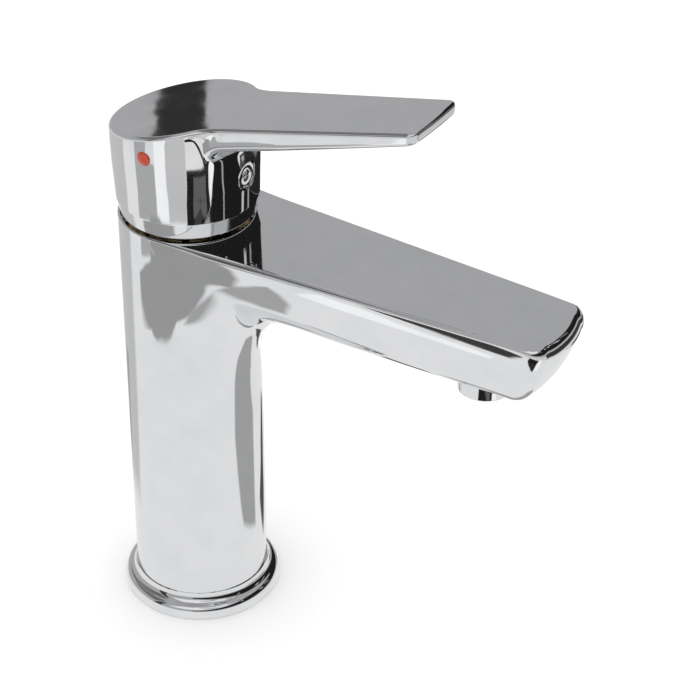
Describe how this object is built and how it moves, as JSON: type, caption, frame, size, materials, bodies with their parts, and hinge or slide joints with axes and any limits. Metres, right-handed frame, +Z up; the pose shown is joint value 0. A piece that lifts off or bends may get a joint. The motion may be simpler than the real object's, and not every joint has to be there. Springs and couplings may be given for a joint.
{
  "type": "basin mixer tap",
  "caption": "Chrome single-lever basin mixer: round column, flat tapering spout, sloping lever handle and screw-in aerator.",
  "frame": {"origin": "on the deck plane at the axis of the round column, centre of the shank thread's mouth", "axes": "+Z up along the column, +X along the spout towards the user, -Y on the hot side"},
  "size_m": [0.1649, 0.0546, 0.2102],
  "materials": {
    "chrome": "polished",
    "brass": "machined",
    "rubber": "matte",
    "steel": "satin",
    "white_plastic": "satin",
    "blue_plastic": "satin",
    "ceramic": "lapped",
    "hot_red": "gloss",
    "cold_blue": "gloss"
  },
  "bodies": {
    "faucet": {"body": "chrome", "base_ring": "chrome", "base_gasket": "rubber", "inlet_block": "brass", "block_seal": "rubber", "block_retainer": "steel", "cartridge_housing": "white_plastic", "cartridge_base": "blue_plastic", "hot_seal": "rubber", "cold_seal": "rubber", "housing_o_ring": "rubber", "fixed_disc": "ceramic", "cartridge_nut": "brass", "bonnet": "chrome", "aerator_housing": "chrome", "aerator_insert": "white_plastic", "aerator_screen": "white_plastic", "aerator_gasket": "rubber"},
    "swivel": {"rotor": "white_plastic", "pivot_pin": "steel"},
    "lever": {"handle": "chrome", "spindle": "steel", "hot_index": "hot_red", "cold_index": "cold_blue", "grub_screw": "steel", "screw_plug": "chrome"},
    "slider": {"disc_carrier": "blue_plastic", "moving_disc": "ceramic"}
  },
  "joints": [
    {"name": "lever_swivel", "type": "hinge", "parent": "faucet", "child": "swivel", "pos_m": [0, 0, 0.159], "axis": [0, 0, 1], "range_deg": [-45, 45]},
    {"name": "lever_lift", "type": "hinge", "parent": "swivel", "child": "lever", "pos_m": [0, 0, 0.159], "axis": [0, -1, 0], "range_deg": [0, 18]},
    {"name": "disc_slide", "type": "slide", "parent": "swivel", "child": "slider", "axis": [1, 0, 0], "range_m": [0, 0.0068]}
  ],
  "couplings": [
    {"joint": "disc_slide", "follows": "lever_lift", "m_per_rad": 0.021}
  ]
}
